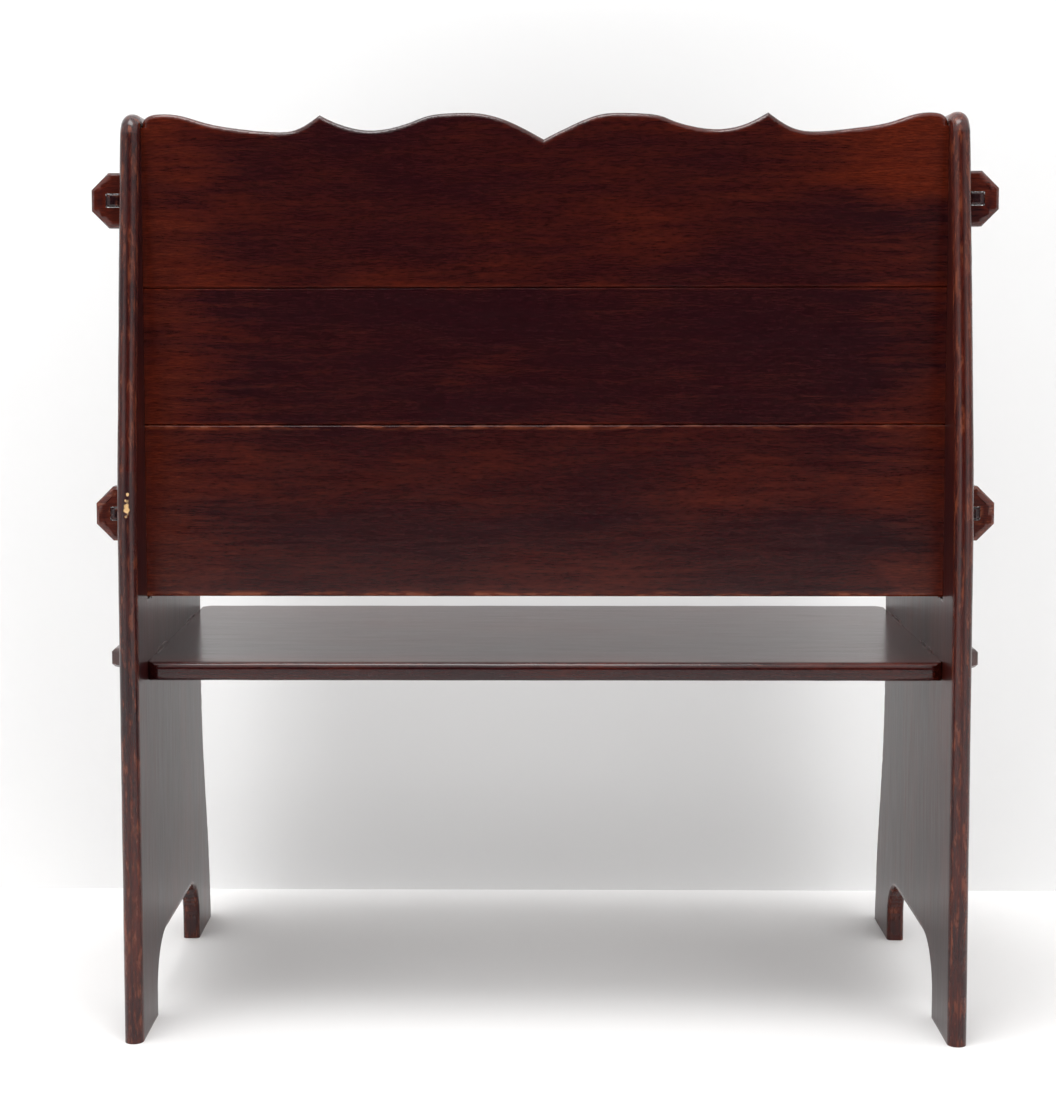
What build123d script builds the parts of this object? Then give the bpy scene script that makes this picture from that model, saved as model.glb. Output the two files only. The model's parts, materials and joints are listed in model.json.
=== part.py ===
"""Knock-down entryway bench: two side panels, three back boards and a seat board, locked by keys.

Millimetres, +Z up, origin on the floor at the middle of the footprint. The sitter faces -Y, the back
of the bench is at +Y, and left and right are the sitter's own, so the left side is at +X.
Places along the depth are given as a distance forward of the rear plane, the plane that the rear
feet reach.
"""
import os
from math import cos, radians, sin

from build123d import *

# Overall size
overall_width = 963  # over the outer faces of the side panels
overall_depth = 480  # of a side panel, at the floor
panel_height = 1062
stock = 22  # thickness of every board
fit = 0.25  # clearance on each side of a joint that slides together
past = 1  # how far a cut or a choice of edges runs past what it is for

# Side panel, seen from the side
sole_rear_foot = 98
sole_front_foot = 103
arch_height = 86
arch_corner = 55
bend_start = 540  # the rear edge is plumb up to here
bend_radius = 1818
lean = 6.3  # degrees that the upright leans forward above the bend
upright_front = 160  # distance of the upright's front edge from the rear plane
sweep_radius = 160  # hollow between upright and arm
arm_height = 656
arm_front = 425
arm_nose = 55
flare_start = 345  # height at which the front edge starts to run out into the foot
flare_middle = (470, 84)
flare_toe_slope = (0.1, -1)
crown_rear = 30
crown_front = 42
roundover = 10.5
arch_roundover = 5

# Back: three boards between the panels, plumb, one above the other
back_recess = 64  # rear face, from the rear plane
back_bottom = 507.3
lower_joint = 706
upper_joint = 863.5
board_gap = 0.6
joint_chamfer = 1.4
edge_chamfer = 2
tongue_height = 8
tongue_thickness = 6
housing_depth = 6  # how far the boards stand in the panels' grooves
housing_top = 1046
housing_bottom = 504
upper_tenon = 963.3  # mid height of the top board's tenons
lower_tenon = 603.4

# Scalloped edge of the top board, sawn by hand: for each side, from its end to the middle, the points
# that the edge runs through, as distance from the middle and height
scallops = {
    "left": {
        "outer_hump": (434, 1061.7),
        "outer_slope": (387, 1051.5),
        "outer_foot": (346, 1044.3),
        "outer_dip": (308, 1040.9),
        "outer_rise": (284, 1043.2),
        "cusp": (256, 1060),
        "inner_rise": (230, 1048.4),
        "inner_dip": (193, 1042.6),
        "inner_slope": (151, 1052),
        "inner_hump": (87, 1062.2),
        "notch_slope": (32, 1048.8),
    },
    "right": {
        "outer_hump": (439, 1061.2),
        "outer_slope": (397, 1051.2),
        "outer_foot": (350, 1043.4),
        "outer_dip": (314, 1040.2),
        "outer_rise": (284, 1044),
        "cusp": (255.5, 1061.6),
        "inner_rise": (231, 1049.2),
        "inner_dip": (194, 1043),
        "inner_slope": (149, 1052),
        "inner_hump": (82, 1061.7),
        "notch_slope": (32, 1047.7),
    },
}
scallop_end = 1046.5
notch = (0, 1031.8)
outer_cusp_rise = 0.75  # slope of the hollow outside the cusp where it meets the cusp
inner_cusp_rise = 0.57
notch_rise = 0.56
scallop_round = 6

# Seat
seat_rear = 50  # rear nose, from the rear plane
seat_depth = 400
seat_rear_height = 432  # top face at the rear nose
seat_slope = 1.1  # degrees, higher at the front
seat_nose = 8
seat_rear_clip = 10.5
seat_front_clip = 16
rear_seat_tenon = 98  # middle of the tenon, from the seat's rear nose
front_seat_tenon = 292

# Through tenons, all alike: a clipped end that stands out beyond the panel
tenon_width = 63
tenon_reach = 36.5
tenon_clip = 19.5
tenon_bevel = 3.5
tenon_bevel_start = 1.5  # outside the panel's face, where the bevel stops

# Keys, all alike: a wedge with one straight face against the panel
key_length = 54
key_narrow = 19
key_taper = 1 / 8
key_thickness = 14
key_proud = 4  # how far the narrow end stands out of its mortise
key_corner = 4
key_round = 2.5
key_mortise_play = 1  # above and below a key
key_mortise_bite = 3  # how far the mortise runs inside the panel

outer_face = overall_width / 2
inner_face = outer_face - stock
tenon_end = outer_face + tenon_reach
half_board = inner_face + housing_depth - fit
sides = {"left": 1, "right": -1}


def from_rear(distance):
    """Y of a point that lies this far forward of the rear plane."""
    return overall_depth / 2 - distance


back_plane = Plane.XZ.offset(-from_rear(back_recess))
seat_normal = Vector(0, sin(radians(seat_slope)), cos(radians(seat_slope)))
seat_plane = Plane((0, from_rear(seat_rear), seat_rear_height), x_dir=(1, 0, 0), z_dir=seat_normal)


def tenon_neck(side, middle):
    """Corners of a tenon from inside its board out to where its bevelled head starts."""
    root = side * (inner_face - stock)
    end = side * (outer_face + tenon_bevel_start)
    low = middle - tenon_width / 2
    high = middle + tenon_width / 2
    return [(root, low), (end, low), (end, high), (root, high)]


def tenon_head(side, middle):
    """Corners of a tenon's clipped head, outside the panel."""
    start = side * (outer_face + tenon_bevel_start)
    shoulder = side * (tenon_end - tenon_clip)
    end = side * tenon_end
    half = tenon_width / 2
    flat = half - tenon_clip
    return [
        (start, middle - half),
        (shoulder, middle - half),
        (end, middle - flat),
        (end, middle + flat),
        (shoulder, middle + half),
        (start, middle + half),
    ]


def add_tenons(plane, depth, middles):
    """Through tenons at both ends of a board: bevelled heads first, then the necks that carry them."""
    with BuildSketch(plane) as heads:
        for side in sides.values():
            for middle in middles:
                Polygon(*tenon_head(side, middle), align=None)
    extrude(heads.sketch, amount=depth)
    start = outer_face + tenon_bevel_start
    broad_faces = faces().filter_by(plane)
    chamfer([e for e in broad_faces.edges() if abs(e.center().X) > start + fit], tenon_bevel)
    with BuildSketch(plane) as necks:
        for side in sides.values():
            for middle in middles:
                Polygon(*tenon_neck(side, middle), align=None)
    extrude(necks.sketch, amount=depth)


def back_key_plane(side, height):
    """Plane of a back key's outline: x out from the panel, y from its narrow rear end to the front."""
    origin = (side * outer_face, from_rear(back_recess) + key_proud, height)
    return Plane(origin, x_dir=(side, 0, 0), z_dir=(0, 0, -side))


def seat_key_plane(side, middle):
    """Plane of a seat key's outline: x out from the panel, y from its narrow lower end upwards."""
    origin = seat_plane.from_local_coords(Vector(side * outer_face, -middle, -stock - key_proud))
    return Plane(origin, x_dir=(side, 0, 0), z_dir=Vector(side, 0, 0).cross(seat_normal))


def cut_key_mortise(plane):
    """Tapered mortise through a tenon, from just inside the panel out to the key's sloping face."""
    low = -key_proud
    high = key_length
    with BuildSketch(plane) as mortise:
        Polygon(
            (-key_mortise_bite, low),
            (key_narrow + low * key_taper + fit, low),
            (key_narrow + high * key_taper + fit, high),
            (-key_mortise_bite, high),
            align=None,
        )
    extrude(mortise.sketch, amount=key_thickness / 2 + key_mortise_play, both=True, mode=Mode.SUBTRACT)


def cut_groove(height):
    """Groove for a tongue along a back board's edge at this height."""
    with BuildSketch(Plane.XY.offset(height)) as groove:
        with Locations((0, from_rear(back_recess + stock / 2))):
            Rectangle(2 * (half_board + past), tongue_thickness + fit)
    extrude(groove.sketch, amount=tongue_height + fit, both=True, mode=Mode.SUBTRACT)


def scallop_half(side, points):
    """Outline of the top board from the middle of its lower edge round one end to the notch."""
    end = (inner_face - fit, scallop_end)
    corners = [
        (0, upper_joint + board_gap / 2),
        (half_board, upper_joint + board_gap / 2),
        (half_board, housing_top - fit),
        (inner_face - fit, housing_top - fit),
        end,
    ]
    order = list(points)
    middle = order.index("cusp")
    outer = [points[name] for name in order[: middle + 1]]
    inner = [points[name] for name in order[middle:-1]]
    runs = [
        ([end, points["outer_hump"]], (0, 1), (-1, 0)),
        (outer, (-1, 0), (-1, outer_cusp_rise)),
        (inner, (-1, -inner_cusp_rise), (-1, 0)),
        ([points["inner_hump"], points["notch_slope"], notch], (-1, 0), (-1, -notch_rise)),
    ]
    Polyline(*[(side * x, z) for x, z in corners])
    for run, start, finish in runs:
        directions = [(side * x, z) for x, z in (start, finish)]
        Spline(*[(side * x, z) for x, z in run], tangents=directions)


def long_edges(height):
    """Edges along a board's length at this height."""
    return edges().filter_by(Axis.X).filter_by_position(Axis.Z, height - fit, height + fit)


# Side panels
with BuildPart() as left_side_panel:
    with BuildSketch(Plane.YZ.offset(inner_face)):
        with BuildLine():
            plumb = Line((from_rear(0), 0), (from_rear(0), bend_start))
            bend = JernArc(plumb @ 1, plumb % 1, bend_radius, lean)
            rise = (panel_height - (bend @ 1).Y) / cos(radians(lean))
            upright_rear = PolarLine(bend @ 1, rise, direction=bend % 1)
            crown = Line(upright_rear @ 1, (from_rear(upright_front), panel_height))
            upright = Line(crown @ 1, (from_rear(upright_front), arm_height + sweep_radius))
            sweep = JernArc(upright @ 1, upright % 1, sweep_radius, -90)
            arm = Line(sweep @ 1, (from_rear(arm_front), arm_height))
            arm_edge = Line(arm @ 1, (from_rear(arm_front), flare_start))
            toe = (from_rear(overall_depth), 0)
            flare = Spline(
                arm_edge @ 1,
                (from_rear(flare_middle[0]), flare_middle[1]),
                toe,
                tangents=[(0, -1), (-flare_toe_slope[0], flare_toe_slope[1])],
            )
            Line(flare @ 1, plumb @ 0)
        outline = make_face()
        fillet(outline.vertices().sort_by_distance(crown @ 0)[0], crown_rear)
        fillet(vertices().sort_by_distance(crown @ 1)[0], crown_front)
        fillet(vertices().sort_by_distance(arm @ 1)[0], arm_nose)
    extrude(amount=stock)
    broad_faces = faces().filter_by(Axis.X)
    fillet([e for e in broad_faces.edges() if e.center().Z > fit], roundover)
    arch_length = overall_depth - sole_rear_foot - sole_front_foot
    with BuildSketch(Plane.YZ.offset(inner_face)) as arch:
        with Locations((from_rear(sole_rear_foot + arch_length / 2), 0)):
            RectangleRounded(arch_length, 2 * arch_height, arch_corner)
    extrude(arch.sketch, amount=stock, mode=Mode.SUBTRACT)
    arch_rim = faces().filter_by(Axis.X).edges() & edges(Select.LAST)
    fillet([e for e in arch_rim if e.center().Z > fit], arch_roundover)
    with BuildSketch(Plane.XY.offset(housing_bottom)) as housing:
        with Locations((inner_face, from_rear(back_recess + stock / 2))):
            Rectangle(2 * housing_depth, stock + 2 * fit)
    extrude(housing.sketch, amount=housing_top - housing_bottom, mode=Mode.SUBTRACT)
    with BuildSketch(Plane.YZ.offset(inner_face)) as back_mortises:
        for height in (upper_tenon, lower_tenon):
            with Locations((from_rear(back_recess + stock / 2), height)):
                Rectangle(stock + 2 * fit, tenon_width + 2 * fit)
    extrude(back_mortises.sketch, amount=stock, mode=Mode.SUBTRACT)
    with BuildSketch(seat_plane.offset(fit)) as seat_mortises:
        for middle in (rear_seat_tenon, front_seat_tenon):
            with Locations((inner_face + stock / 2, -middle)):
                Rectangle(stock, tenon_width + 2 * fit)
    extrude(seat_mortises.sketch, amount=-(stock + 2 * fit), mode=Mode.SUBTRACT)

with BuildPart() as right_side_panel:
    mirror(left_side_panel.part, about=Plane.YZ)

# Back boards
with BuildPart() as top_back_board:
    add_tenons(back_plane, stock, [upper_tenon])
    with BuildSketch(back_plane) as board:
        with BuildLine():
            for side_name, side in sides.items():
                scallop_half(side, scallops[side_name])
        make_face()
    extrude(amount=stock)
    rims = faces().filter_by(Axis.Y).edges()
    scalloped = rims.filter_by_position(Axis.Z, notch[1] - past, panel_height + past)
    fillet([e for e in scalloped if abs(e.center().X) < inner_face - past], scallop_round)
    chamfer(long_edges(upper_joint + board_gap / 2), joint_chamfer)
    cut_groove(upper_joint + board_gap / 2)
    for side in sides.values():
        cut_key_mortise(back_key_plane(side, upper_tenon))

with BuildPart() as middle_back_board:
    low = lower_joint + board_gap / 2
    high = upper_joint - board_gap / 2
    with BuildSketch(back_plane):
        with Locations((0, (low + high) / 2)):
            Rectangle(2 * half_board, high - low)
    extrude(amount=stock)
    chamfer(long_edges(low) + long_edges(high), joint_chamfer)
    with BuildSketch(back_plane.offset((stock - tongue_thickness) / 2)):
        with Locations((0, (low + high) / 2)):
            Rectangle(2 * half_board, high - low + 2 * tongue_height)
    extrude(amount=tongue_thickness)

with BuildPart() as bottom_back_board:
    add_tenons(back_plane, stock, [lower_tenon])
    high = lower_joint - board_gap / 2
    with BuildSketch(back_plane):
        with Locations((0, (back_bottom + high) / 2)):
            Rectangle(2 * half_board, high - back_bottom)
    extrude(amount=stock)
    chamfer(long_edges(high), joint_chamfer)
    chamfer(long_edges(back_bottom), edge_chamfer)
    cut_groove(high)
    for side in sides.values():
        cut_key_mortise(back_key_plane(side, lower_tenon))

# Seat board
with BuildPart() as seat_board:
    seat_tenons = [-rear_seat_tenon, -front_seat_tenon]
    add_tenons(seat_plane, -stock, seat_tenons)
    with BuildSketch(seat_plane):
        with Locations((0, -seat_depth / 2)):
            Rectangle(2 * inner_face, seat_depth)
    extrude(amount=-stock)
    noses = edges().filter_by(Axis.X).filter_by(lambda e: e.length > inner_face)
    fillet(noses, seat_nose)
    with BuildSketch(seat_plane) as clips:
        for side in sides.values():
            for end, clip in ((0, seat_rear_clip), (-seat_depth, seat_front_clip)):
                inward = clip if end else -clip
                across = (side * (inner_face - clip), end)
                along = (side * inner_face, end + inward)
                Polygon((side * inner_face, end), across, along, align=None)
    extrude(clips.sketch, amount=-stock, mode=Mode.SUBTRACT)
    for side in sides.values():
        for middle in (rear_seat_tenon, front_seat_tenon):
            cut_key_mortise(seat_key_plane(side, middle))

boards = {
    "left_side_panel": left_side_panel,
    "right_side_panel": right_side_panel,
    "top_back_board": top_back_board,
    "middle_back_board": middle_back_board,
    "bottom_back_board": bottom_back_board,
    "seat_board": seat_board,
}
os.makedirs("parts", exist_ok=True)
for name, board in boards.items():
    board.part.label = name
    export_step(board.part, f"parts/{name}.step")

# Keys
key_planes = {}
for side_name, side in sides.items():
    key_planes[f"{side_name}_upper_back_key"] = back_key_plane(side, upper_tenon)
    key_planes[f"{side_name}_lower_back_key"] = back_key_plane(side, lower_tenon)
    key_planes[f"{side_name}_rear_seat_key"] = seat_key_plane(side, rear_seat_tenon)
    key_planes[f"{side_name}_front_seat_key"] = seat_key_plane(side, front_seat_tenon)

for name, plane in key_planes.items():
    wide = key_narrow + key_length * key_taper
    with BuildPart() as key:
        with BuildSketch(plane):
            Polygon((0, 0), (key_narrow, 0), (wide, key_length), (0, key_length), align=None)
            chamfer(vertices(), key_corner)
        extrude(amount=key_thickness / 2, both=True)
        fillet(edges(), key_round)
    key.part.label = name
    export_step(key.part, f"parts/{name}.step")
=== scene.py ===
"""Looks of a knock-down entryway bench.

Dark-stained boards and keys, rubbed by use, stand in a plain studio.
"""

import json
import math

import bmesh
import bpy
from bpy.props import FloatProperty, FloatVectorProperty, PointerProperty
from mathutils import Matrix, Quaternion, Vector, noise


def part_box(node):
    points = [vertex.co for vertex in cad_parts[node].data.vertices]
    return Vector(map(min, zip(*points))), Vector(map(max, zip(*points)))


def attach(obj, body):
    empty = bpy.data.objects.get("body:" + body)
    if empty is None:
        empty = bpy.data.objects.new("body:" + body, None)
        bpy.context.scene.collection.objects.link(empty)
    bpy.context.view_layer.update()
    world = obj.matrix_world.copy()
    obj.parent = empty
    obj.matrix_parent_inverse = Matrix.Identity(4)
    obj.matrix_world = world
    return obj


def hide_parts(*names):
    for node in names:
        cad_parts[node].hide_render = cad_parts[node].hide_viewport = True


bl_info = {
    "name": "Entryway Bench",
    "version": (1, 0, 0),
    "blender": (4, 5, 0),
    "location": "3D View > Sidebar > Bench",
    "description": "Finishes the boards and keys of a knock-down bench and sets up its studio",
    "category": "Object",
}

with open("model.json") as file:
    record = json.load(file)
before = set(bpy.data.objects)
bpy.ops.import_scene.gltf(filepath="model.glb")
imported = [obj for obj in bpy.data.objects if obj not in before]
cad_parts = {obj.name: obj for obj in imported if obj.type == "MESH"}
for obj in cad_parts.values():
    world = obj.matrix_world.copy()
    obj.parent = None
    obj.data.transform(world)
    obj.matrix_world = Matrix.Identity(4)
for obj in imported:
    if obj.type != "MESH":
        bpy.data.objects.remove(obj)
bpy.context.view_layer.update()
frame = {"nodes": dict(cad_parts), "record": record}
PANEL_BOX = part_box("left_side_panel")
INNER_FACE = PANEL_BOX[0].x
OUTER_FACE = PANEL_BOX[1].x
FRONT_PLANE = PANEL_BOX[0].y
REAR_PLANE = PANEL_BOX[1].y
BACK_BOARDS = ("top_back_board", "middle_back_board", "bottom_back_board")
SIDES = ("left", "right")
KEYS = tuple(name for name in frame["nodes"] if name.endswith("_key"))
RECORD = frame["record"]
BODIES = {
    node: body for body, nodes in RECORD["behaviour"]["bodies"].items() for node in nodes
}
X, Y, Z = range(3)

# Detail of the wood's figure, in cycles per metre along the grain and twice across it
SWAY_CYCLES = (3.0, 7.0, 7.0)
CLOUD_CYCLES = (3.4, 14.0, 14.0)
RIBBON_CYCLES = (11.0, 170.0, 170.0)
STREAK_CYCLES = (80.0, 850.0, 850.0)
PORE_CYCLES = (110.0, 800.0, 800.0)
RUBBING_CYCLES = (30.0, 150.0, 150.0)
SWAY_WIDTH = 0.02  # metres by which the figure wanders sideways
PORE_RANGE = (0.60, 0.70)  # noise over which a pore opens
STREAK_RELIEF = 0.5  # height of a streak against the depth of a pore

# How the figure colours the stain
RIBBON_SHARE, CLOUD_SHARE = 0.4, 0.6  # of the depth of colour
RED_RANGE = (0.33, 0.69)  # depth over which dark stain turns red
WARM_RANGE = (0.5, 0.85)  # depth over which red stain turns warm
WARMEST = 0.9
ARRIS_WARMTH = 0.12
END_START = 0.62  # share of the way out at which a board's warm end begins
STREAK_RANGE = (0.28, 0.72)
STREAK_SHADES = (0.45, 1.6)  # factors on the colour

# Where rubbing shows through: the threshold falls as the amount grows
RUBBING_START, RUBBING_FALL, RUBBING_SOFTNESS = 0.72, 0.35, 0.2

# The varnish
RIBBON_ROUGHNESS = 0.22  # spread that the ribbons give, half to either side
RUBBED_ROUGHNESS = 0.12
BARE_ROUGHNESS = 0.5
VARNISH_IOR = 1.42
RELIEF_STRENGTH, RELIEF_DEPTH = 0.35, 0.00004

# The mesh
MERGE_DISTANCE = 1e-5
COPLANAR_ANGLE = math.radians(0.4)
FLAT_COSINE = 0.9999
ARRIS_ANGLES = (math.radians(1.0), math.radians(6.0))  # bend over which an edge is an arris
RUB_RANGE = (0.3, 0.75)  # noise over which an arris goes from whole to rubbed
SHARP_ANGLE = math.radians(33)
ALONG_HEIGHT = (0.0, math.radians(90), 0.0)  # grain turns, see wood()
ALONG_DEPTH = (0.0, 0.0, math.radians(90))

# One fresh chip at the height of the lower tenon and two specks beside it, in metres: inset from
# the panel's outer face, height above the floor, then the sizes
CHIPS = (
    {"inset": 0.0124, "height": 0.6164, "width": 0.0066, "length": 0.017, "depth": 0.0012},
    {"inset": 0.0134, "height": 0.6316, "width": 0.0028, "length": 0.0038, "depth": 0.0006},
    {"inset": 0.0110, "height": 0.6245, "width": 0.002, "length": 0.0026, "depth": 0.0004},
)
CHIP_REACH = 1.6  # radius of the finer mesh around a chip, in chip lengths
CHIP_REFINEMENTS = 4
CHIP_FACETS = 8  # across a chip
CHIP_RAGGEDNESS = 0.7
CHIP_STEEPNESS = 3.0
OUTLINE_CYCLES, HOLLOW_CYCLES = 260.0, 400.0  # per metre
HOLLOW_MEAN, HOLLOW_SPREAD = 0.8, 0.4  # of a chip's depth

# The studio, in metres
FLOOR_HALF_WIDTH = 5.0
FLOOR_BEHIND = 3.2
WALL_HEIGHT = 3.4
PAINT_ROUGHNESS = 0.7
CEILING_PLACE, CEILING_AIM, CEILING_SIZE = (0.3, 0.6, 3.0), (0.2, 0.3, 0.0), (1.5, 1.0)
SIDE_LIGHT_OUT, SIDE_LIGHT_BEHIND, SIDE_LIGHT_HEIGHT = 2.6, 3.2, 0.8
SIDE_LIGHT_AIM, SIDE_LIGHT_SIZE = (0.0, 0.0, 0.3), (2.2, 1.8)
SENSOR_WIDTH = 36.0  # millimetres

# The surround by direction: a range of Y or Z, then what it gives at the range's two ends. The
# first two are multiplied and the third is added.
DARK_BEHIND_CAMERA = (0.7, 0.94, 1.0, 0.01)
BRIGHT_ABOVE = (0.0, 0.7, 0.55, 1.6)
BRIGHT_IN_FRONT = (-0.8, -0.1, 0.8, 0.0)

# Sockets of a Mix node that mixes colours, where names repeat
MIX_FACTOR, MIX_FIRST, MIX_SECOND, MIX_RESULT = 0, 6, 7, 2


class BenchFinish(bpy.types.PropertyGroup):
    """Colours and gloss of the stained and varnished wood."""

    dark_stain: FloatVectorProperty(
        name="Dark Stain",
        description="Colour where the stain lies thickest",
        subtype="COLOR",
        default=(0.0155, 0.0025, 0.0038),
    )
    red_stain: FloatVectorProperty(
        name="Red Stain",
        description="Colour of most of the wood",
        subtype="COLOR",
        default=(0.035, 0.0048, 0.003),
    )
    warm_stain: FloatVectorProperty(
        name="Warm Stain",
        description="Colour where the stain is rubbed thin",
        subtype="COLOR",
        default=(0.08, 0.0096, 0.0032),
    )
    rubbed_wood: FloatVectorProperty(
        name="Rubbed Wood",
        description="Colour of arrises that are worn through the stain",
        subtype="COLOR",
        default=(0.17, 0.038, 0.0135),
    )
    bare_wood: FloatVectorProperty(
        name="Bare Wood",
        description="Colour inside a fresh chip",
        subtype="COLOR",
        default=(0.72, 0.47, 0.22),
    )
    gloss_roughness: FloatProperty(
        name="Gloss Roughness",
        description="Roughness of the satin varnish",
        subtype="FACTOR",
        default=0.2,
        min=0.0,
        max=1.0,
    )


class BenchWear(bpy.types.PropertyGroup):
    """Sizes of the mesh and of what years of use have done to the edges."""

    cut_step: FloatProperty(
        name="Cut Step",
        description="Distance between the cross cuts that give a board its mesh",
        unit="LENGTH",
        default=0.012,
    )
    arris_band: FloatProperty(
        name="Arris Band",
        description="Width of the band beside an arris that shows rubbing",
        unit="LENGTH",
        default=0.005,
    )
    rub_depth: FloatProperty(
        name="Rub Depth",
        description="How deep arrises are rubbed away at most",
        unit="LENGTH",
        default=0.0004,
    )
    rub_length: FloatProperty(
        name="Rub Length",
        description="Typical length of one rubbed stretch",
        unit="LENGTH",
        default=0.045,
    )


class BenchStudio(bpy.types.PropertyGroup):
    """Camera, light and paint of the studio."""

    camera_distance: FloatProperty(
        name="Camera Distance",
        description="From the bench's rear plane to the camera",
        unit="LENGTH",
        default=2.1346,
    )
    camera_height: FloatProperty(
        name="Camera Height",
        description="Height of the camera above the floor",
        unit="LENGTH",
        default=0.827,
    )
    camera_side: FloatProperty(
        name="Camera Side",
        description="Sideways place of the camera",
        unit="LENGTH",
        default=0.0148,
    )
    camera_tilt: FloatProperty(
        name="Camera Tilt",
        description="Downward tilt of the camera",
        subtype="ANGLE",
        default=0.0662,
    )
    camera_turn: FloatProperty(
        name="Camera Turn",
        description="Turn of the camera about the vertical",
        subtype="ANGLE",
        default=-0.0145,
    )
    camera_roll: FloatProperty(
        name="Camera Roll",
        description="Roll of the camera about its own axis",
        subtype="ANGLE",
        default=-0.0016,
    )
    lens: FloatProperty(
        name="Lens",
        description="Focal length in millimetres",
        unit="CAMERA",
        default=62.46,
    )
    rise: FloatProperty(name="Rise", description="Vertical shift of the lens", default=-0.0957)
    slide: FloatProperty(name="Slide", description="Sideways shift of the lens", default=0.0224)
    wall_gap: FloatProperty(
        name="Wall Gap",
        description="From the front feet to the backdrop",
        unit="LENGTH",
        default=0.12,
    )
    floor_paint: FloatVectorProperty(
        name="Floor Paint",
        description="Colour of the floor",
        subtype="COLOR",
        default=(0.9, 0.893, 0.887),
    )
    wall_paint: FloatVectorProperty(
        name="Wall Paint",
        description="Colour of the wall and of the empty surround",
        subtype="COLOR",
        default=(0.9, 0.9, 0.9),
    )
    ceiling_power: FloatProperty(
        name="Ceiling Power",
        description="Power of the light overhead",
        unit="POWER",
        default=42.0,
    )
    side_power: FloatProperty(
        name="Side Power",
        description="Power of each light to the side of the camera",
        unit="POWER",
        default=14.0,
    )


# Building nodes


def add_node(tree, kind, inputs=None, **settings):
    """A new node with its settings made and its inputs linked to sockets or set to values."""
    made = tree.nodes.new(kind)
    for name, value in settings.items():
        setattr(made, name, value)
    for key, value in (inputs or {}).items():
        if isinstance(value, bpy.types.NodeSocket):
            tree.links.new(value, made.inputs[key])
        else:
            made.inputs[key].default_value = value
    return made


def math_node(tree, operation, *values, clamp=False):
    """Output of a Math node on sockets or numbers."""
    sockets = dict(enumerate(values))
    made = add_node(tree, "ShaderNodeMath", sockets, operation=operation, use_clamp=clamp)
    return made.outputs[0]


def vector_node(tree, operation, first, second):
    """Vector output of a Vector Math node on sockets or values."""
    sockets = {0: first, 1: second}
    return add_node(tree, "ShaderNodeVectorMath", sockets, operation=operation).outputs[0]


def ramp_value(tree, value, low, high, to_low=0.0, to_high=1.0):
    """Output that goes smoothly from to_low to to_high as value goes from low to high."""
    sockets = {
        "Value": value,
        "From Min": low,
        "From Max": high,
        "To Min": to_low,
        "To Max": to_high,
    }
    made = add_node(tree, "ShaderNodeMapRange", sockets, interpolation_type="SMOOTHSTEP")
    return made.outputs["Result"]


def mix_colour(tree, factor, first, second, blend="MIX"):
    """Output of a colour mix; each colour is a socket or three numbers."""
    sockets = {MIX_FACTOR: factor}
    for place, colour in ((MIX_FIRST, first), (MIX_SECOND, second)):
        is_socket = isinstance(colour, bpy.types.NodeSocket)
        sockets[place] = colour if is_socket else (*colour, 1.0)
    made = add_node(tree, "ShaderNodeMix", sockets, data_type="RGBA", blend_type=blend)
    return made.outputs[MIX_RESULT]


def new_group(name, inputs, outputs):
    """Empty shader node group; returns the group, its input node and its output node.

    inputs gives each socket's kind by name, and outputs names sockets that are all numbers.
    """
    group = bpy.data.node_groups.new(name, "ShaderNodeTree")
    for socket, kind in inputs.items():
        group.interface.new_socket(socket, in_out="INPUT", socket_type=kind)
    for socket in outputs:
        group.interface.new_socket(socket, in_out="OUTPUT", socket_type="NodeSocketFloat")
    return group, group.nodes.new("NodeGroupInput"), group.nodes.new("NodeGroupOutput")


def placed_group(tree, name, build, inputs):
    """Outputs of the group of that name, built on first use and placed in the tree."""
    group = bpy.data.node_groups.get(name) or build(name)
    return add_node(tree, "ShaderNodeGroup", inputs, node_tree=group).outputs


def stretched_noise(tree, vector, seed, cycles, **values):
    """Factor of a 4D noise with so many cycles per metre along each axis."""
    spread = vector_node(tree, "MULTIPLY", vector, cycles)
    sockets = {"Vector": spread, "W": seed, "Scale": 1.0, **values}
    return add_node(tree, "ShaderNodeTexNoise", sockets, noise_dimensions="4D").outputs[0]


def grain_group(name):
    """Mahogany figure along X: clouds of stain, ribbons, fine streaks and pores."""
    group, given, result = new_group(
        name,
        {"Vector": "NodeSocketVector", "Seed": "NodeSocketFloat"},
        ("Cloud", "Ribbon", "Streak", "Height"),
    )
    vector, seed = given.outputs["Vector"], given.outputs["Seed"]
    sway = stretched_noise(group, vector, seed, SWAY_CYCLES, Detail=2.0)
    sway = math_node(group, "MULTIPLY", math_node(group, "SUBTRACT", sway, 0.5), SWAY_WIDTH)
    swayed = vector_node(group, "ADD", vector, sway)
    cloud = stretched_noise(group, swayed, seed, CLOUD_CYCLES, Detail=3.0, Roughness=0.6)
    ribbon = stretched_noise(group, swayed, seed, RIBBON_CYCLES, Detail=5.0, Roughness=0.7)
    streak = stretched_noise(group, swayed, seed, STREAK_CYCLES, Detail=3.0, Roughness=0.8)
    dash = stretched_noise(group, swayed, seed, PORE_CYCLES, Detail=1.0)
    relief = math_node(group, "MULTIPLY", streak, STREAK_RELIEF)
    height = math_node(group, "SUBTRACT", relief, ramp_value(group, dash, *PORE_RANGE))
    values = {"Cloud": cloud, "Ribbon": ribbon, "Streak": streak, "Height": height}
    for socket, value in values.items():
        group.links.new(value, result.inputs[socket])
    return group


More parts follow.
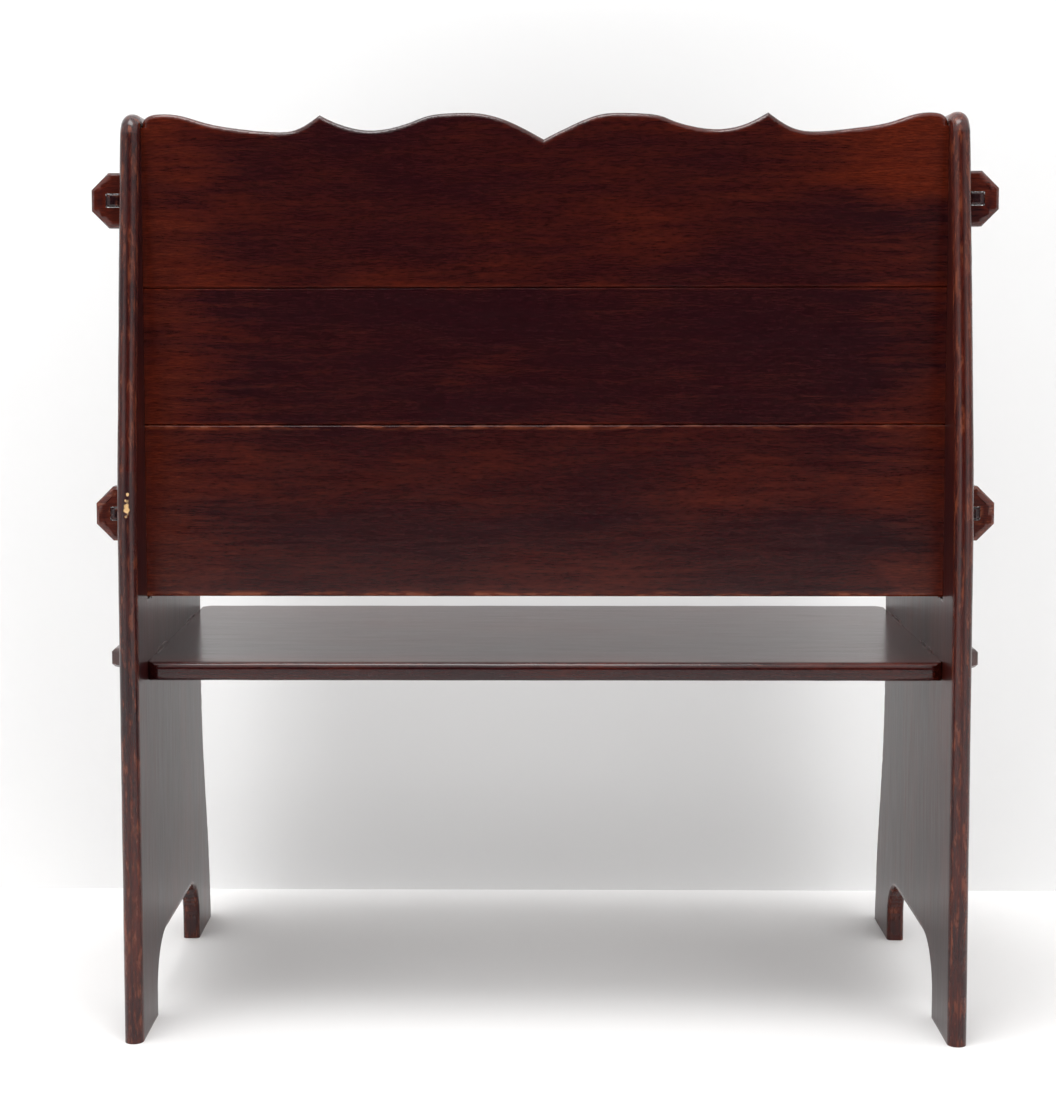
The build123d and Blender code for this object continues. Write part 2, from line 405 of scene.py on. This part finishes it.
def rubbing_group(name):
    """Mask of arrises that are rubbed through their stain, in patches."""
    group, given, result = new_group(
        name,
        {"Vector": "NodeSocketVector", "Edge": "NodeSocketFloat", "Amount": "NodeSocketFloat"},
        ("Mask",),
    )
    vector, edge, amount = (given.outputs[socket] for socket in ("Vector", "Edge", "Amount"))
    patch = stretched_noise(group, vector, 0.0, RUBBING_CYCLES, Detail=4.0, Roughness=0.65)
    fall = math_node(group, "MULTIPLY", amount, RUBBING_FALL)
    low = math_node(group, "SUBTRACT", RUBBING_START, fall)
    worn = ramp_value(group, patch, low, math_node(group, "ADD", low, RUBBING_SOFTNESS))
    group.links.new(math_node(group, "MULTIPLY", worn, edge, clamp=True), result.inputs["Mask"])
    return group


def cleared_tree(owner):
    """Node tree of a material or world, with nothing in it."""
    owner.use_nodes = True
    owner.node_tree.nodes.clear()
    return owner.node_tree


def wood(
    name,
    seed,
    grain_turn=(0.0, 0.0, 0.0),
    warmth=0.0,
    warm_ends=0.0,
    darkness=0.0,
    rubbed=0.4,
    matt=0.0,
):
    """Stained and varnished wood.

    The figure runs along X, or along the axis that grain_turn brings there. warmth and darkness
    act all over, warm_ends towards the bench's sides. rubbed is how much of the arrises is worn
    through the stain, and matt dulls the faces but not the arrises.
    """
    finish = bpy.context.scene.bench_finish
    material = bpy.data.materials.new(name)
    tree = cleared_tree(material)

    place = add_node(tree, "ShaderNodeTexCoord").outputs["Object"]
    turn = {"Vector": place, "Rotation": grain_turn}
    turned = add_node(tree, "ShaderNodeMapping", turn).outputs[0]
    figure = {"Vector": turned, "Seed": seed}
    grain = placed_group(tree, "Mahogany Grain", grain_group, figure)
    edge = add_node(tree, "ShaderNodeAttribute", attribute_name="edge").outputs["Fac"]
    bare = add_node(tree, "ShaderNodeAttribute", attribute_name="bare").outputs["Fac"]
    wear = {"Vector": turned, "Edge": edge, "Amount": rubbed}
    rubbing = placed_group(tree, "Edge Rubbing", rubbing_group, wear)["Mask"]

    # Stain, from dark through red to warm
    clouds = math_node(tree, "MULTIPLY", grain["Cloud"], CLOUD_SHARE)
    depth = math_node(tree, "MULTIPLY_ADD", grain["Ribbon"], RIBBON_SHARE, clouds)
    red = ramp_value(tree, math_node(tree, "SUBTRACT", depth, darkness), *RED_RANGE)
    across = add_node(tree, "ShaderNodeSeparateXYZ", {0: place}).outputs["X"]
    outward = math_node(tree, "ABSOLUTE", across)
    near_end = ramp_value(tree, outward, INNER_FACE * END_START, INNER_FACE, 0.0, warm_ends)
    near_arris = math_node(tree, "MULTIPLY_ADD", edge, ARRIS_WARMTH, warmth)
    thin = math_node(tree, "ADD", math_node(tree, "ADD", depth, near_end), near_arris)
    warm = ramp_value(tree, thin, *WARM_RANGE, 0.0, WARMEST)
    colour = mix_colour(tree, red, finish.dark_stain, finish.red_stain)
    colour = mix_colour(tree, warm, colour, finish.warm_stain)

    # Streaks in the stain, then the places where it is gone
    streak = ramp_value(tree, grain["Streak"], *STREAK_RANGE, *STREAK_SHADES)
    shade = add_node(tree, "ShaderNodeCombineColor", {0: streak, 1: streak, 2: streak}).outputs[0]
    colour = mix_colour(tree, 1.0, colour, shade, "MULTIPLY")
    colour = mix_colour(tree, rubbing, colour, finish.rubbed_wood)
    colour = mix_colour(tree, bare, colour, finish.bare_wood)

    # Varnish
    dullest = finish.gloss_roughness + matt - RIBBON_ROUGHNESS / 2
    rough = math_node(tree, "MULTIPLY_ADD", edge, -matt, dullest)
    rough = math_node(tree, "MULTIPLY_ADD", grain["Ribbon"], RIBBON_ROUGHNESS, rough)
    rough = math_node(tree, "MULTIPLY_ADD", rubbing, RUBBED_ROUGHNESS, rough)
    rough = math_node(tree, "MULTIPLY_ADD", bare, BARE_ROUGHNESS, rough, clamp=True)
    relief = {"Strength": RELIEF_STRENGTH, "Distance": RELIEF_DEPTH, "Height": grain["Height"]}
    normal = add_node(tree, "ShaderNodeBump", relief).outputs[0]
    look = {"Base Color": colour, "Roughness": rough, "Normal": normal, "IOR": VARNISH_IOR}
    shader = add_node(tree, "ShaderNodeBsdfPrincipled", look)
    add_node(tree, "ShaderNodeOutputMaterial", {"Surface": shader.outputs[0]})
    return material


# Building meshes


def worn_edges_tree():
    """Geometry nodes that mark a board's arrises as edge, rub them away and set the material."""
    wear = bpy.context.scene.bench_wear
    tree = bpy.data.node_groups.new("Worn Edges", "GeometryNodeTree")
    sockets = tree.interface
    sockets.new_socket("Geometry", in_out="INPUT", socket_type="NodeSocketGeometry")
    for name, default in (("Depth", wear.rub_depth), ("Length", wear.rub_length), ("Seed", 0.0)):
        made = sockets.new_socket(name, in_out="INPUT", socket_type="NodeSocketFloat")
        made.default_value = default
    sockets.new_socket("Material", in_out="INPUT", socket_type="NodeSocketMaterial")
    sockets.new_socket("Geometry", in_out="OUTPUT", socket_type="NodeSocketGeometry")
    given = tree.nodes.new("NodeGroupInput").outputs

    angle = add_node(tree, "GeometryNodeInputMeshEdgeAngle").outputs["Unsigned Angle"]
    bent = ramp_value(tree, angle, *ARRIS_ANGLES)
    marked = add_node(
        tree,
        "GeometryNodeStoreNamedAttribute",
        {"Geometry": given["Geometry"], "Name": "edge", "Value": bent},
        data_type="FLOAT",
        domain="POINT",
    )
    named = {"Name": "edge"}
    edge = add_node(tree, "GeometryNodeInputNamedAttribute", named, data_type="FLOAT").outputs[0]

    frequency = math_node(tree, "DIVIDE", 1.0, given["Length"])
    patches = {"W": given["Seed"], "Scale": frequency, "Detail": 1.0}
    rub = add_node(tree, "ShaderNodeTexNoise", patches, noise_dimensions="4D").outputs[0]
    amount = math_node(tree, "MULTIPLY", ramp_value(tree, rub, *RUB_RANGE), edge)
    amount = math_node(tree, "MULTIPLY", amount, given["Depth"])
    normal = add_node(tree, "GeometryNodeInputNormal").outputs[0]
    inward = {0: normal, "Scale": math_node(tree, "MULTIPLY", amount, -1.0)}
    offset = add_node(tree, "ShaderNodeVectorMath", inward, operation="SCALE").outputs[0]

    shape = {"Geometry": marked.outputs[0], "Offset": offset}
    moved = add_node(tree, "GeometryNodeSetPosition", shape).outputs[0]
    real = add_node(tree, "GeometryNodeRealizeInstances", {"Geometry": moved}).outputs[0]
    shape = {"Geometry": real, "Material": given["Material"]}
    painted = add_node(tree, "GeometryNodeSetMaterial", shape).outputs[0]
    add_node(tree, "NodeGroupOutput", {0: painted})
    return tree


def set_inputs(modifier, **values):
    """Sets a Geometry Nodes modifier's inputs, found by name and set by identifier."""
    for item in modifier.node_group.interface.items_tree:
        if item.item_type == "SOCKET" and item.in_out == "INPUT" and item.name in values:
            modifier[item.identifier] = values[item.name]


def merged_copy(node):
    """Mesh of a CAD node with its loose triangles joined and its flat faces whole."""
    mesh = bmesh.new()
    mesh.from_mesh(frame["nodes"][node].data)
    bmesh.ops.remove_doubles(mesh, verts=mesh.verts, dist=MERGE_DISTANCE)
    bmesh.ops.dissolve_limit(
        mesh, angle_limit=COPLANAR_ANGLE, verts=mesh.verts, edges=mesh.edges
    )
    return mesh


def inset_flats(mesh, axis, band):
    """A band of this width just inside the rim of every flat face that looks along the axis."""
    flats = [face for face in mesh.faces if abs(face.normal[axis]) > FLAT_COSINE]
    bmesh.ops.inset_region(
        mesh, faces=flats, thickness=band, use_even_offset=True, use_boundary=True
    )


def cross_cuts(mesh, axis, step):
    """Cuts the mesh at even steps along an axis, so that its edges and faces get points."""
    places = [vert.co[axis] for vert in mesh.verts]
    low, high = min(places), max(places)
    count = round((high - low) / step)
    along = Vector((0, 0, 0))
    along[axis] = 1
    for i in range(1, count):
        geometry = [*mesh.verts, *mesh.edges, *mesh.faces]
        point = along * (low + (high - low) * i / count)
        bmesh.ops.bisect_plane(mesh, geom=geometry, plane_co=point, plane_no=along)


def finished(mesh, name, node, material, seed, rub):
    """The finished piece, which stands for the CAD node: worn edges, shading and its body."""
    wear = bpy.context.scene.bench_wear
    data = bpy.data.meshes.new(name)
    mesh.to_mesh(data)
    mesh.free()
    piece = bpy.data.objects.new(name, data)
    bpy.context.scene.collection.objects.link(piece)
    modifier = piece.modifiers.new("Worn Edges", "NODES")
    modifier.node_group = bpy.data.node_groups.get("Worn Edges") or worn_edges_tree()
    depth = wear.rub_depth * rub
    set_inputs(modifier, Depth=depth, Length=wear.rub_length, Seed=seed, Material=material)
    graph = bpy.context.evaluated_depsgraph_get()
    evaluated = piece.evaluated_get(graph)
    worn = bpy.data.meshes.new_from_object(
        evaluated, preserve_all_data_layers=True, depsgraph=graph
    )
    piece.modifiers.remove(modifier)
    piece.data = worn
    worn.name = name
    worn.shade_smooth()
    worn.set_sharp_from_angle(angle=SHARP_ANGLE)
    piece.modifiers.new("Flat Faces", "WEIGHTED_NORMAL").keep_sharp = True
    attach(piece, BODIES[node])
    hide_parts(node)
    return piece


def board_piece(node, name, flat_axis, long_axes, material, seed, shape=None, rub=1.0):
    """A worn board made from a CAD node and cut across along its long axes.

    shape may carve the mesh, and rub is how much of the full rub depth this board shows.
    """
    wear = bpy.context.scene.bench_wear
    mesh = merged_copy(node)
    inset_flats(mesh, flat_axis, wear.arris_band)
    for axis in long_axes:
        cross_cuts(mesh, axis, wear.cut_step)
    if shape:
        shape(mesh)
    return finished(mesh, name, node, material, seed, rub)


def once(items):
    """Each item once, in the order in which it first comes, so that every run is the same."""
    return list(dict.fromkeys(items))


def faces_around(faces, centre, reach):
    """Those of the faces whose middle lies within reach of the centre."""
    return [face for face in faces if (face.calc_center_median() - centre).length < reach]


def chip(mesh, centre, width, length, depth):
    """Breaks a ragged chip out of a rear edge, down to bare wood."""
    reach = CHIP_REACH * max(width, length)
    near = faces_around(mesh.faces, centre, reach + bpy.context.scene.bench_wear.cut_step)
    longest = width / CHIP_FACETS
    for _ in range(CHIP_REFINEMENTS):
        edges = once(edge for face in near for edge in face.edges)
        edges = [edge for edge in edges if edge.calc_length() > longest]
        made = bmesh.ops.subdivide_edges(mesh, edges=edges, cuts=1, use_grid_fill=True)
        inner = [item for item in made["geom_inner"] if isinstance(item, bmesh.types.BMFace)]
        whole = [face for face in once([*near, *inner]) if face.is_valid]
        linked = once(face for item in whole for edge in item.edges for face in edge.link_faces)
        near = faces_around(linked, centre, reach)
    layer = mesh.verts.layers.float.get("bare") or mesh.verts.layers.float.new("bare")
    shift = Vector((centre.z, 0.0, 0.0))
    for vert in once(vert for face in near for vert in face.verts):
        away = vert.co - centre
        radius = Vector((away.x / width, away.z / length)).length * 2
        ragged = 1.0 + CHIP_RAGGEDNESS * noise.noise(vert.co * OUTLINE_CYCLES + shift)
        hollow = max(0.0, min(1.0, (ragged - radius) * CHIP_STEEPNESS))
        uneven = HOLLOW_MEAN + HOLLOW_SPREAD * noise.noise(vert.co * HOLLOW_CYCLES)
        vert[layer] = max(vert[layer], hollow)
        vert.co.y -= depth * hollow * uneven


def chips(mesh):
    """The fresh chip and its specks, each on the rearmost mesh at its height."""
    band = bpy.context.scene.bench_wear.cut_step
    for mark in CHIPS:
        height = mark["height"]
        rear = max(vert.co.y for vert in mesh.verts if abs(vert.co.z - height) < band)
        centre = Vector((OUTER_FACE - mark["inset"], rear, height))
        chip(mesh, centre, mark["width"], mark["length"], mark["depth"])


# Building the studio


def plain_material(name, paint, one_sided=False):
    """Matt paint; one-sided paint can't be seen from behind."""
    material = bpy.data.materials.new(name)
    tree = cleared_tree(material)
    look = {"Base Color": (*paint, 1.0), "Roughness": PAINT_ROUGHNESS}
    surface = add_node(tree, "ShaderNodeBsdfPrincipled", look).outputs[0]
    if one_sided:
        behind = add_node(tree, "ShaderNodeNewGeometry").outputs["Backfacing"]
        clear = add_node(tree, "ShaderNodeBsdfTransparent").outputs[0]
        sides = {0: behind, 1: surface, 2: clear}
        surface = add_node(tree, "ShaderNodeMixShader", sides).outputs[0]
    add_node(tree, "ShaderNodeOutputMaterial", {"Surface": surface})
    return material


def stage_sheet(name, corners, material):
    """A flat stage piece through four corners, facing the side they run anticlockwise from."""
    data = bpy.data.meshes.new(name)
    data.from_pydata(corners, [], [(0, 1, 2, 3)])
    data.materials.append(material)
    sheet = bpy.data.objects.new(name, data)
    bpy.context.scene.collection.objects.link(sheet)


def build_stage(studio):
    """Pale floor and, beyond the bench's front, a pale wall."""
    half, behind, top = FLOOR_HALF_WIDTH, FLOOR_BEHIND, WALL_HEIGHT
    floor = [(-half, -half, 0), (half, -half, 0), (half, behind, 0), (-half, behind, 0)]
    stage_sheet("studio_floor", floor, plain_material("pale_floor", studio.floor_paint))
    back = FRONT_PLANE - studio.wall_gap
    wall = [(half, back, 0), (-half, back, 0), (-half, back, top), (half, back, top)]
    paint = plain_material("pale_wall", studio.wall_paint, one_sided=True)
    stage_sheet("studio_wall", wall, paint)


def area_light(name, place, aim, size, power):
    """Soft rectangular light that the camera doesn't see."""
    data = bpy.data.lights.new(name, "AREA")
    data.shape = "RECTANGLE"
    data.size, data.size_y = size
    data.energy = power
    light = bpy.data.objects.new(name, data)
    light.location = place
    light.rotation_euler = (Vector(aim) - Vector(place)).to_track_quat("-Z", "Y").to_euler()
    light.visible_camera = False
    bpy.context.scene.collection.objects.link(light)


def build_lights(studio):
    """One soft light above and one to each side of the camera."""
    area_light("ceiling_light", CEILING_PLACE, CEILING_AIM, CEILING_SIZE, studio.ceiling_power)
    for name, side in (("left_light", 1), ("right_light", -1)):
        place = (side * SIDE_LIGHT_OUT, SIDE_LIGHT_BEHIND, SIDE_LIGHT_HEIGHT)
        area_light(name, place, SIDE_LIGHT_AIM, SIDE_LIGHT_SIZE, studio.side_power)


def build_surround(studio):
    """Pale surround, dark straight behind the camera, so that dark varnish stays dark."""
    world = bpy.data.worlds.new("studio_surround")
    tree = cleared_tree(world)
    direction = add_node(tree, "ShaderNodeTexCoord").outputs["Generated"]
    parts = add_node(tree, "ShaderNodeSeparateXYZ", {0: direction}).outputs
    glow = ramp_value(tree, parts["Y"], *DARK_BEHIND_CAMERA)
    glow = math_node(tree, "MULTIPLY", glow, ramp_value(tree, parts["Z"], *BRIGHT_ABOVE))
    glow = math_node(tree, "ADD", glow, ramp_value(tree, parts["Y"], *BRIGHT_IN_FRONT))
    plain = {"Color": (*studio.wall_paint, 1.0), "Strength": 1.0}
    seen = add_node(tree, "ShaderNodeBackground", plain).outputs[0]
    lighting = {"Color": (1.0, 1.0, 1.0, 1.0), "Strength": glow}
    around = add_node(tree, "ShaderNodeBackground", lighting).outputs[0]
    camera_ray = add_node(tree, "ShaderNodeLightPath").outputs["Is Camera Ray"]
    mixed = add_node(tree, "ShaderNodeMixShader", {0: camera_ray, 1: around, 2: seen})
    add_node(tree, "ShaderNodeOutputWorld", {"Surface": mixed.outputs[0]})
    bpy.context.scene.world = world
    bpy.context.scene.view_settings.view_transform = "Standard"


def build_camera(studio):
    """Camera behind the bench, looking slightly down on it."""
    data = bpy.data.cameras.new("studio_camera")
    data.sensor_width = SENSOR_WIDTH
    data.lens = studio.lens
    data.shift_x, data.shift_y = studio.slide, studio.rise
    camera = bpy.data.objects.new("studio_camera", data)
    distance = REAR_PLANE + studio.camera_distance
    camera.location = (studio.camera_side, distance, studio.camera_height)
    tilt, turn = studio.camera_tilt, studio.camera_turn
    level = Vector((-math.sin(turn), -math.cos(turn), 0.0)) * math.cos(tilt)
    aim = level + Vector((0.0, 0.0, -math.sin(tilt)))
    roll = Quaternion((0.0, 0.0, 1.0), studio.camera_roll)
    camera.rotation_euler = (aim.to_track_quat("-Z", "Y") @ roll).to_euler()
    bpy.context.scene.collection.objects.link(camera)
    bpy.context.scene.camera = camera


# Steps


class BENCH_OT_side_panels(bpy.types.Operator):
    """Finish both side panels"""

    bl_idname = "bench.side_panels"
    bl_label = "Side Panels"

    def execute(self, context):
        look = {"grain_turn": ALONG_HEIGHT, "warmth": 0.05, "rubbed": 0.68, "matt": 0.12}
        for i, side in enumerate(SIDES):
            material = wood(f"{side}_panel_wood", 3.0 + i, **look)
            node, name = f"{side}_side_panel", f"{side}_panel_board"
            carve = chips if side == "left" else None
            board_piece(node, name, X, (Y, Z), material, 10.0 + i, carve)
        return {"FINISHED"}


class BENCH_OT_back_boards(bpy.types.Operator):
    """Finish the three boards of the backrest"""

    bl_idname = "bench.back_boards"
    bl_label = "Back Boards"

    def execute(self, context):
        for seed, node in enumerate(BACK_BOARDS, start=20):
            darkness = 0.07 if node.startswith("middle") else 0.0
            rubbed = 0.8 if node.startswith("bottom") else 0.2
            finish = node.replace("_board", "_wood")
            material = wood(finish, seed, warm_ends=0.19, darkness=darkness, rubbed=rubbed)
            name = node.replace("back_board", "backrest_board")
            board_piece(node, name, Y, (X, Z), material, float(seed), rub=0.2)
        return {"FINISHED"}


class BENCH_OT_seat(bpy.types.Operator):
    """Finish the seat board"""

    bl_idname = "bench.seat"
    bl_label = "Seat"

    def execute(self, context):
        material = wood("seat_wood_finish", 31.0, rubbed=0.35)
        board_piece("seat_board", "seat_plank", Z, (X, Y), material, 31.0)
        return {"FINISHED"}


class BENCH_OT_keys(bpy.types.Operator):
    """Finish the loose keys that lock the tenons"""

    bl_idname = "bench.keys"
    bl_label = "Keys"

    def execute(self, context):
        look = {"grain_turn": ALONG_DEPTH, "rubbed": 0.6, "darkness": 0.17}
        material = wood("key_wood_finish", 41.0, **look)
        for seed, node in enumerate(KEYS, start=41):
            name = node.replace("_key", "_wedge")
            board_piece(node, name, X, (), material, float(seed))
        return {"FINISHED"}


class BENCH_OT_studio(bpy.types.Operator):
    """Set up the floor, the backdrop, the lights and the camera"""

    bl_idname = "bench.studio"
    bl_label = "Studio"

    def execute(self, context):
        studio = context.scene.bench_studio
        for build in (build_stage, build_lights, build_surround, build_camera):
            build(studio)
        return {"FINISHED"}


STEPS = (
    BENCH_OT_studio,
    BENCH_OT_side_panels,
    BENCH_OT_back_boards,
    BENCH_OT_seat,
    BENCH_OT_keys,
)
SETTINGS = {"bench_finish": BenchFinish, "bench_wear": BenchWear, "bench_studio": BenchStudio}


class BENCH_PT_sidebar(bpy.types.Panel):
    """Settings of the bench and the steps that finish it, in order"""

    bl_label = "Entryway Bench"
    bl_idname = "BENCH_PT_sidebar"
    bl_space_type = "VIEW_3D"
    bl_region_type = "UI"
    bl_category = "Bench"

    def draw(self, context):
        for name in SETTINGS:
            settings = getattr(context.scene, name)
            for setting in SETTINGS[name].__annotations__:
                self.layout.prop(settings, setting)
        for step in STEPS:
            self.layout.operator(step.bl_idname)


def register():
    """Makes the settings, the steps and the panel known to Blender."""
    for name, group in SETTINGS.items():
        bpy.utils.register_class(group)
        setattr(bpy.types.Scene, name, PointerProperty(type=group))
    for step in STEPS:
        bpy.utils.register_class(step)
    bpy.utils.register_class(BENCH_PT_sidebar)


def unregister():
    """Takes away what register() made, in the opposite order."""
    bpy.utils.unregister_class(BENCH_PT_sidebar)
    for step in reversed(STEPS):
        bpy.utils.unregister_class(step)
    for name, group in reversed(SETTINGS.items()):
        delattr(bpy.types.Scene, name)
        bpy.utils.unregister_class(group)


def main():
    """Runs every step."""
    register()
    bpy.ops.bench.studio()
    bpy.ops.bench.side_panels()
    bpy.ops.bench.back_boards()
    bpy.ops.bench.seat()
    bpy.ops.bench.keys()


if __name__ == "__main__":
    main()
